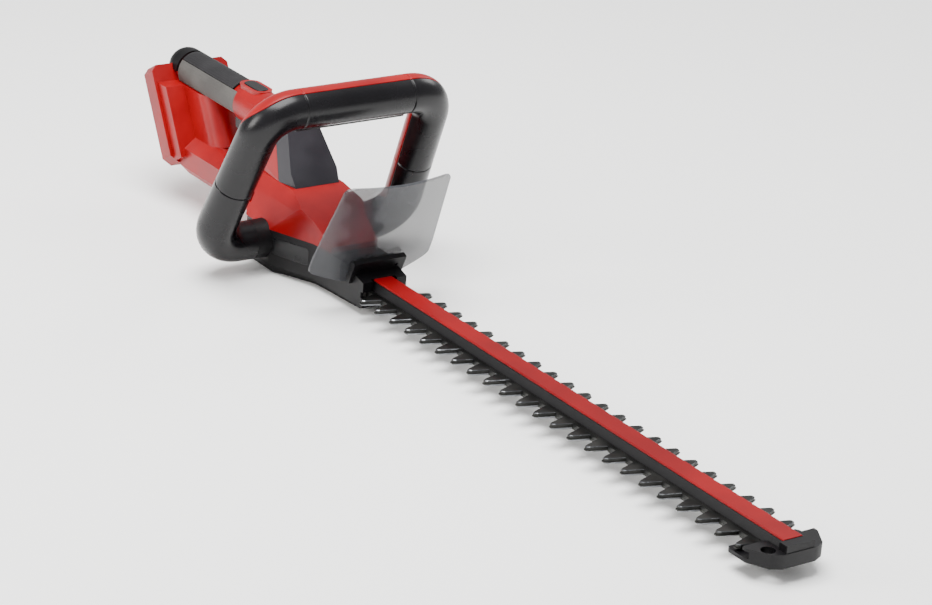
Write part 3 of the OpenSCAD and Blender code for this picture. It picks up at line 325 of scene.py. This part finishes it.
missing = sorted(set(nodes) - set(finishOfNode))
print("finishes made:", len(finishOf), "nodes without one:", missing)


# mesh helpers
skin = 0.02  # mm that a drawn surface stays inside the solid it stands for
weldGap = 1e-7  # metres within which two points of a carried profile are one
flatWeight = 80  # how far the large faces lead the shading


def bodyOf(node):
    return nodes[node]["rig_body"]


def standFor(piece, node):
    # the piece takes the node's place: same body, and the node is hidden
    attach(piece, bodyOf(node))
    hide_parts(node)
    return piece


def placeMesh(name, mesh, finish):
    # a smooth object in one finish
    mesh.materials.append(finish)
    mesh.polygons.foreach_set("use_smooth", [True] * len(mesh.polygons))
    mesh.update()
    piece = bpy.data.objects.new(name, mesh)
    bpy.context.scene.collection.objects.link(piece)
    return piece


def meshPiece(name, points, faces, finish):
    mesh = bpy.data.meshes.new(name)
    mesh.from_pydata([tuple(p) for p in np.asarray(points, float).tolist()], [], faces)
    return placeMesh(name, mesh, finish)


def carryProfile(name, bodies, finish):
    # each body is (n, m, 3): n closed rings of m points along a path; the sides are quads between
    # neighbouring rings and each end is closed by one face
    points, faces, first = [], [], 0
    for rings in bodies:
        n, m = rings.shape[:2]
        k = np.arange(n * m).reshape(n, m) + first
        nxt = np.roll(k, -1, axis=1)
        faces += np.stack([k[:-1], nxt[:-1], nxt[1:], k[1:]], axis=-1).reshape(-1, 4).tolist()
        faces += [k[0, ::-1].tolist(), k[-1].tolist()]
        points.append(rings.reshape(-1, 3))
        first += n * m
    piece = meshPiece(name, np.concatenate(points), faces, finish)
    bm = bmesh.new()
    bm.from_mesh(piece.data)
    bmesh.ops.remove_doubles(bm, verts=bm.verts, dist=weldGap)
    bmesh.ops.recalc_face_normals(bm, faces=bm.faces)
    bm.to_mesh(piece.data)
    bm.free()
    return piece


def softenEdges(piece, width, angle=32, segments=3):
    # rounds every edge that turns by more than the angle; width in mm, angle in degrees
    bevel = piece.modifiers.new("softEdges", "BEVEL")
    bevel.width, bevel.segments = width * mm, segments
    bevel.limit_method, bevel.angle_limit = "ANGLE", math.radians(angle)
    bevel.miter_outer = "MITER_ARC"
    bevel.use_clamp_overlap = True
    flat = piece.modifiers.new("evenShade", "WEIGHTED_NORMAL")
    flat.keep_sharp = True
    flat.weight = flatWeight
    return piece


def mergedCopy(name, node, merge=0.004, flat=0.6):
    # the node's own triangles, joined within merge mm, with areas flat within flat degrees made one face
    bm = bmesh.new()
    bm.from_mesh(nodes[node].data)
    bmesh.ops.remove_doubles(bm, verts=bm.verts, dist=merge * mm)
    bmesh.ops.dissolve_degenerate(bm, edges=bm.edges, dist=merge * mm)
    bmesh.ops.dissolve_limit(bm, verts=bm.verts, edges=bm.edges, angle_limit=math.radians(flat))
    mesh = bpy.data.meshes.new(name)
    bm.to_mesh(mesh)
    bm.free()
    return placeMesh(name, mesh, finishOfNode[node])


# moulded pieces with softened edges
softPieces = {  # node: (piece name, edge radius in mm, slot)
    "right_shell": ("rightShellSkin", 0.9, "red_plastic"),
    "left_shell": ("leftShellSkin", 0.9, "red_plastic"),
    "gear_housing": ("gearHousingSkin", 0.9, "black_plastic"),
    "motor_cover": ("motorCoverSkin", 1.1, "cover_plastic"),
    "battery_seat": ("batterySeatSkin", 0.8, "red_plastic"),
    "lock_bezel": ("lockBezelSkin", 0.5, "red_plastic"),
    "lock_button": ("lockButtonSkin", 0.5, "switch_plastic"),
    "trigger": ("triggerSkin", 0.7, "switch_plastic"),
    "switch_bar": ("switchBarSkin", 0.7, "switch_plastic"),
    "grip_end_cap": ("gripCapSkin", 0.3, "black_plastic"),
    "tip_guard": ("tipGuardSkin", 0.6, "black_plastic"),
    "bar_channel": ("railSides", 0.35, "black_plastic"),
    "bar_cover": ("railStrip", 0.4, "red_rail"),
}
for node, (name, radius, slotName) in softPieces.items():
    standFor(softenEdges(mergedCopy(name, node), radius), node)
print("softened pieces:", len(softPieces))

# blades: the cutting flanks are ground to a bevel that shows bare metal
bladeFacts = {"grind": 1.5, "outsideOf": 16.0, "teethFrom": 78.0, "slack": 0.01}


def groundBlade(name, node, upwards):
    low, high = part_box(node)
    face = high.z if upwards else low.z
    piece = mergedCopy(name, node, flat=0.2)
    mesh = piece.data
    co = np.zeros(len(mesh.vertices) * 3, np.float32)
    mesh.vertices.foreach_get("co", co)
    co = co.reshape(-1, 3)
    ends = np.zeros(len(mesh.edges) * 2, np.int32)
    mesh.edges.foreach_get("vertices", ends)
    a, b = co[ends.reshape(-1, 2)[:, 0]], co[ends.reshape(-1, 2)[:, 1]]
    # an edge is ground if it lies on the chosen face, outside the spine and beside the teeth
    slack = bladeFacts["slack"] * mm
    onFace = (abs(a[:, 2] - face) < slack) & (abs(b[:, 2] - face) < slack)
    past = np.maximum(abs(a[:, 1]), abs(b[:, 1])) > bladeFacts["outsideOf"] * mm
    ahead = np.minimum(a[:, 0], b[:, 0]) > bladeFacts["teethFrom"] * mm
    weight = (onFace & past & ahead).astype(np.float32)
    mark = mesh.attributes.new("bevel_weight_edge", "FLOAT", "EDGE")
    mark.data.foreach_set("value", weight)
    mesh.materials.append(finishOf["groundEdge"])
    mesh.polygons.foreach_set("use_smooth", [False] * len(mesh.polygons))
    bevel = piece.modifiers.new("grind", "BEVEL")
    bevel.limit_method, bevel.width, bevel.segments = "WEIGHT", bladeFacts["grind"] * mm, 1
    bevel.material = 1
    return standFor(piece, node)


groundBlade("upperBladeGround", "upper_blade", True)
groundBlade("lowerBladeGround", "lower_blade", False)
print("blades ground")

# loop handle: half-round shells carried round one centre line
loop = {
    "foot": (-49.5, 0.0, 26.5), "lean": 25.19, "height": 149.2, "legTop": 80.5, "splay": 5.0,
    "topBend": 28.0, "footBend": 26.0, "earAt": 53.0, "earGap": 0.1, "radius": 16.5, "inner": 13.5,
    "barHalf": 52.3, "slotHalf": 7.3, "lip": 0.9, "gap": 0.12,
    "wrapOuter": 48.0, "wrapFoot": 58.0,  # degrees that the front half reaches past the middle plane
    "wrapFade": 0.85, "footFrom": 0.1,  # where the two wraps end and start, by how far outwards points up
    "groovesAt": [96.0, 196.0], "grooveDeep": 0.7, "grooveWide": 0.9,  # along the line from each ear
    "grooveReach": 1.6, "grooveBell": 0.55, "grooveSteps": 9,  # reach and bell are shares of its width
    "footSteps": 7, "bendSteps": 22, "legSteps": 12, "slotSteps": 14, "sideSteps": 5, "topBand": 1.0,
    "arcSteps": 26, "lipSteps": 4, "edge": 0.5, "edgeAngle": 50,
}


def loopLine(facts):
    # centre line in (across, up): inwards along the foot, a bend, the splayed leg, a bend and the top
    s = math.radians(facts["splay"])
    top, foot, rise = facts["topBend"], facts["footBend"], facts["height"]
    legFoot = facts["legTop"] + rise * math.tan(s)
    topC = np.array([facts["legTop"] - top * math.tan(math.pi / 4 - s / 2), rise - top])
    footC = np.array([legFoot - foot * math.tan(math.pi / 4 + s / 2), foot])
    low = np.linspace(-math.pi / 2, s, facts["bendSteps"])
    high = np.linspace(s, math.pi / 2, facts["bendSteps"])
    footSteps, legSteps = facts["footSteps"], facts["legSteps"]
    footArc = footC + foot * np.stack([np.cos(low), np.sin(low)], 1)
    topArc = topC + top * np.stack([np.cos(high), np.sin(high)], 1)
    footRun = np.stack([np.linspace(facts["earAt"] + facts["earGap"], footC[0], footSteps + 1)[:-1],
                        np.zeros(footSteps)], 1)
    t = np.linspace(0, 1, legSteps + 2)[1:-1, None]
    leg = footArc[-1] * (1 - t) + topArc[0] * t
    edge = facts["barHalf"]
    half = np.linspace(topC[0], edge + skin, facts["sideSteps"])[1:]
    inside = np.linspace(edge - skin, 0, facts["slotSteps"])
    topRun = np.stack([np.concatenate([half, inside]), np.full(len(half) + len(inside), rise)], 1)
    right = np.concatenate([footRun, footArc, leg, topArc, topRun])
    left = right[::-1][1:] * [-1, 1]
    line = np.concatenate([right, left])
    outwards = np.concatenate([
        np.tile([0.0, -1.0], (footSteps, 1)), np.stack([np.cos(low), np.sin(low)], 1),
        np.tile([math.cos(s), math.sin(s)], (legSteps, 1)), np.stack([np.cos(high), np.sin(high)], 1),
        np.tile([0.0, 1.0], (len(topRun), 1))])
    outwards = np.concatenate([outwards, outwards[::-1][1:] * [-1, 1]])
    return line, outwards


def ease(share):
    # an even start and stop: three squares less two cubes
    return share * share * (3 - 2 * share)


def loopHalf(name, node, side):
    # each ring is an outer arc, a rounded lip, an inner arc and a rounded lip; along the top the
    # inner end of the arc stops short, which leaves the slot for the switch bar
    facts = loop
    line, outwards = loopLine(facts)
    run = np.concatenate([[0], np.cumsum(np.linalg.norm(np.diff(line, axis=0), axis=1))])
    marks = np.array(facts["groovesAt"] + [run[-1] - g for g in facts["groovesAt"]])
    reach = np.linspace(-facts["grooveReach"], facts["grooveReach"], facts["grooveSteps"])
    extra = (marks[:, None] + facts["grooveWide"] * reach).ravel()
    dense = np.unique(np.concatenate([run, extra]))
    line = np.stack([np.interp(dense, run, line[:, i]) for i in (0, 1)], 1)
    outwards = np.stack([np.interp(dense, run, outwards[:, i]) for i in (0, 1)], 1)
    outwards /= np.linalg.norm(outwards, axis=1)[:, None]
    # a groove sinks the outer arc by a bell curve of the distance from its mark
    bell = facts["grooveBell"] * facts["grooveWide"]
    sink = facts["grooveDeep"] * np.exp(-((dense[:, None] - marks) / bell) ** 2).sum(1)
    n = len(line)
    # the dark front half wraps behind the legs on their outside, and over the top of each foot
    risen = np.clip(outwards[:, 1], -1, 1)
    outerShift = math.radians(facts["wrapOuter"]) * (1 - ease(np.clip(risen / facts["wrapFade"], 0, 1)))
    fallen = (-risen - facts["footFrom"]) / (1 - facts["footFrom"])
    footShift = math.radians(facts["wrapFoot"]) * ease(np.clip(fallen, 0, 1))
    stop = np.where((abs(line[:, 0]) < facts["barHalf"]) & (line[:, 1] > facts["height"] - facts["topBand"]),
                    math.asin(facts["slotHalf"] / facts["radius"]), facts["gap"] / facts["radius"])
    stop = stop - side * footShift
    start = (facts["gap"] / facts["radius"] - side * outerShift)[:, None]
    lip, outside = facts["lip"], facts["radius"] - skin
    t = np.linspace(0, 1, facts["arcSteps"])[None, :]
    lipAngle = lip / facts["radius"]
    a0, a1 = start + lipAngle, (math.pi - stop - lipAngle)[:, None]
    outerAngle = a0 + (a1 - a0) * t
    outerR = np.full_like(outerAngle, outside) - sink[:, None]
    q = np.linspace(0, math.pi / 2, facts["lipSteps"] + 1)[None, 1:]
    endAngle = a1 + lipAngle * np.sin(q)
    endR = np.tile(outside - lip * (1 - np.cos(q)), (n, 1)) - sink[:, None]
    innerAngle = outerAngle[:, ::-1] + np.where(t == 0, lipAngle, 0) - np.where(t == 1, lipAngle, 0)
    innerR = np.full_like(innerAngle, facts["inner"] + skin)
    startAngle = a0 - lipAngle * np.sin(q[:, ::-1])
    startR = np.tile(outside - lip * (1 - np.cos(q[:, ::-1])), (n, 1)) - sink[:, None]
    angle = np.concatenate([outerAngle, endAngle, innerAngle, startAngle], 1)
    radius = np.concatenate([outerR, endR, innerR, startR], 1)
    outAmount, aheadAmount = radius * np.cos(angle), side * radius * np.sin(angle)
    across = line[:, None, 0] + outAmount * outwards[:, None, 0]
    up = line[:, None, 1] + outAmount * outwards[:, None, 1]
    lean = math.radians(facts["lean"])
    x = facts["foot"][0] + aheadAmount * math.cos(lean) + up * math.sin(lean)
    z = facts["foot"][2] - aheadAmount * math.sin(lean) + up * math.cos(lean)
    piece = carryProfile(name, [np.stack([x, across, z], -1) * mm], finishOfNode[node])
    softenEdges(piece, facts["edge"], facts["edgeAngle"], segments=2)
    return standFor(piece, node)


loopHalf("loopFrontShell", "loop_front", 1)
loopHalf("loopRearShell", "loop_rear", -1)
print("loop handle carried")

# grip covers: curved pads with rolled edges, carried along the handle
grip = {"height": 110.0, "radius": 17.0, "core": 14.8, "from": -241.8, "edge": 0.8,
        "rollSteps": 6, "alongSteps": 40, "arcSteps": 34,
        "pads": [("gripTopPad", "grip_top", 42, 138, -155.1, "black_rubber"),
                 ("gripLeftPad", "grip_side_left", -28, 41.5, -146.1, "grey_rubber"),
                 ("gripRightPad", "grip_side_right", 138.5, 208, -146.1, "grey_rubber")]}


def rolledSpan(first, last, edge, count):
    # stations from first to last, and how much of the roll's depth is lost at each: a quarter circle
    # over the edge at both ends and nothing between
    roll = np.linspace(0, 1, grip["rollSteps"])
    middle = np.linspace(first + edge, last - edge, count)[1:-1]
    stations = np.concatenate([first + edge * roll, middle, last - edge + edge * roll])
    lost = np.concatenate([1 - np.sqrt(1 - (1 - roll) ** 2), np.zeros(count - 2), 1 - np.sqrt(1 - roll ** 2)])
    return stations, lost


def gripPad(name, node, fromAngle, toAngle, endAt, slotName):
    # a ring is an arc at the outer radius and back at the core; the pad sinks to the core over the
    # last millimetre at each end and at each long edge
    facts = grip
    a0, a1 = math.radians(fromAngle), math.radians(toAngle)
    edge = facts["edge"]
    along, endDrop = rolledSpan(facts["from"], endAt, edge, facts["alongSteps"])
    arc, sideDrop = rolledSpan(a0, a1, edge / facts["radius"], facts["arcSteps"])
    drop = np.maximum(endDrop[:, None], sideDrop[None, :]) * edge
    outer = facts["radius"] - skin - drop
    inner = np.full_like(outer, facts["core"] + skin)
    radius = np.concatenate([outer, inner[:, ::-1]], 1)
    angle = np.tile(np.concatenate([arc, arc[::-1]]), (len(along), 1))
    # the circle is measured from +Y towards +Z
    y, z = radius * np.cos(angle), facts["height"] + radius * np.sin(angle)
    x = np.tile(along[:, None], (1, radius.shape[1]))
    piece = carryProfile(name, [np.stack([x, y, z], -1) * mm], finishOfNode[node])
    return standFor(piece, node)


for pad in grip["pads"]:
    gripPad(*pad)
print("grip pads carried")

# hand shield: a shallow curved sheet with a rounded rim
shield = {"foot": (54.0, 0.0, 23.5), "lean": 23.0, "bow": 220.0, "thick": 2.5, "tall": 101.0,
          "outline": [(0.0, 27.0), (8.7, 55.0), (11.0, 57.6), (13.5, 58.0), (24.0, 58.0),
                      (99.0, 50.0), (101.0, 48.5)],  # height, half width
          "corner": 5.0, "rows": 64, "columns": 61, "edge": 0.7, "edgeAngle": 60}


def shieldSheet(name, node):
    # the half-width follows the outline with height; depth bows back on a circle
    facts = shield
    rows, columns = facts["rows"], facts["columns"]
    w = np.linspace(0, facts["tall"], rows)
    points = np.array(facts["outline"])
    half = np.interp(w, points[:, 0], points[:, 1])
    near = np.clip(w - (facts["tall"] - facts["corner"]), 0, facts["corner"])
    half = half - (facts["corner"] - np.sqrt(facts["corner"] ** 2 - near ** 2))
    t = np.linspace(-1, 1, columns)
    y = half[:, None] * t[None, :]
    z = np.tile(w[:, None], (1, columns))
    lean = math.radians(facts["lean"])
    skins = []
    for radius in (facts["bow"] + facts["thick"] - skin, facts["bow"] + skin):
        x = np.sqrt(radius ** 2 - y ** 2) - facts["bow"]
        skins.append(np.stack([facts["foot"][0] + x * math.cos(lean) + z * math.sin(lean), y,
                               facts["foot"][2] - x * math.sin(lean) + z * math.cos(lean)], -1) * mm)
    k = np.arange(rows * columns).reshape(rows, columns)
    front = np.stack([k[:-1, :-1], k[:-1, 1:], k[1:, 1:], k[1:, :-1]], -1).reshape(-1, 4)
    back = front[:, ::-1] + rows * columns
    rim = np.concatenate([k[0, :-1], k[:-1, -1], k[-1, :0:-1], k[:0:-1, 0]])
    after = np.roll(rim, -1)
    sides = np.stack([after, rim, rim + rows * columns, after + rows * columns], -1)
    faces = np.concatenate([front, back, sides]).tolist()
    piece = meshPiece(name, np.concatenate([skins[0].reshape(-1, 3), skins[1].reshape(-1, 3)]), faces,
                      finishOfNode[node])
    softenEdges(piece, facts["edge"], facts["edgeAngle"], segments=2)
    return standFor(piece, node)


shieldSheet("shieldSheet", "shield")
print("shield made")

# springs: round wire wound on a helix
rake = (0.42564, 0.0, 0.90489)  # up the loop
barSpringUp = 143.7  # mm up the loop from its foot
turnPoints, wirePoints = 28, 10  # along one turn, and round the wire
springs = [
    {"name": "lockSpringWire", "node": "lock_spring", "joint": "lock_press", "feet": [(-137.0, 0.0, 111.5)],
     "axis": (0, 0, 1), "radius": 3.0, "wire": 0.7, "tall": 5.5, "turns": 3, "fixedTop": False, "keep": 0.52},
    {"name": "triggerSpringWire", "node": "trigger_spring", "joint": "trigger_pull",
     "feet": [(-136.0, 0.0, 90.0)], "axis": (0, 0, 1), "radius": 2.6, "wire": 0.8, "tall": 12.5, "turns": 4,
     "fixedTop": True, "keep": 0.64},
    {"name": "barSpringWires", "node": "bar_springs", "joint": "bar_press",
     "feet": [(loop["foot"][0] + barSpringUp * rake[0], y, loop["foot"][2] + barSpringUp * rake[2])
              for y in (-34.0, 34.0)],
     "axis": rake, "radius": 3.0, "wire": 0.8, "tall": 17.7, "turns": 6, "fixedTop": True, "keep": 0.81},
]


def windSpring(facts):
    # the wire's centre goes round the axis while it climbs; a ring of points stands across it
    w = np.array(facts["axis"], float)
    u = np.array([0.0, 1.0, 0.0])
    v = np.cross(w, u)
    t = np.linspace(0, 1, facts["turns"] * turnPoints + 1)[:, None, None]
    turn = 2 * math.pi * facts["turns"] * t
    around = np.linspace(0, 2 * math.pi, wirePoints, endpoint=False)[None, :, None]
    outward = np.cos(turn) * u + np.sin(turn) * v
    reach = facts["radius"] + facts["wire"] / 2 * np.cos(around)
    climb = facts["tall"] * t + facts["wire"] / 2 * np.sin(around)
    coils = [(np.array(foot) + reach * outward + climb * w) * mm for foot in facts["feet"]]
    piece = carryProfile(facts["name"], coils, finishOfNode[facts["node"]])
    standFor(piece, facts["node"])
    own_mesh(piece)


for spring in springs:
    windSpring(spring)
print("springs wound:", len(springs))

# plain plate let into the right flank of the gear housing
plate = {"from": (-33.5, -39.7), "to": (2.5, -26.3), "low": 17.5, "high": 32.5, "proud": 0.35,
         "points": 96, "squareness": 0.22,
         "rings": [(0, 1.55), (0, 0.3), (0.12, 0.08), (0.4, 0)]}  # inset, and depth below the top


def sidePlate(name, finish):
    # a rounded rectangle, a superellipse of (along, up), stands on the flank with a rolled edge
    facts = plate
    a, b = np.array(facts["from"]), np.array(facts["to"])
    along = (b - a) / np.linalg.norm(b - a)
    outward = np.array([along[1], -along[0]])
    halfLong, halfTall = np.linalg.norm(b - a) / 2, (facts["high"] - facts["low"]) / 2
    turn = np.linspace(0, 2 * math.pi, facts["points"], endpoint=False)
    circle = np.stack([np.cos(turn), np.sin(turn)], 1)
    square = np.sign(circle) * abs(circle) ** facts["squareness"]
    rings = []
    for inset, below in facts["rings"]:
        u, v = square[:, 0] * (halfLong - inset), square[:, 1] * (halfTall - inset)
        xy = (a + b) / 2 + u[:, None] * along + (facts["proud"] - below) * outward
        z = (facts["low"] + facts["high"]) / 2 + v
        rings.append(np.column_stack([xy, z]))
    piece = carryProfile(name, [np.array(rings) * mm], finish)
    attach(piece, "frame")
    return piece


sidePlate("flankPlate", finishOf["slickBlack"])
print("flank plate made")
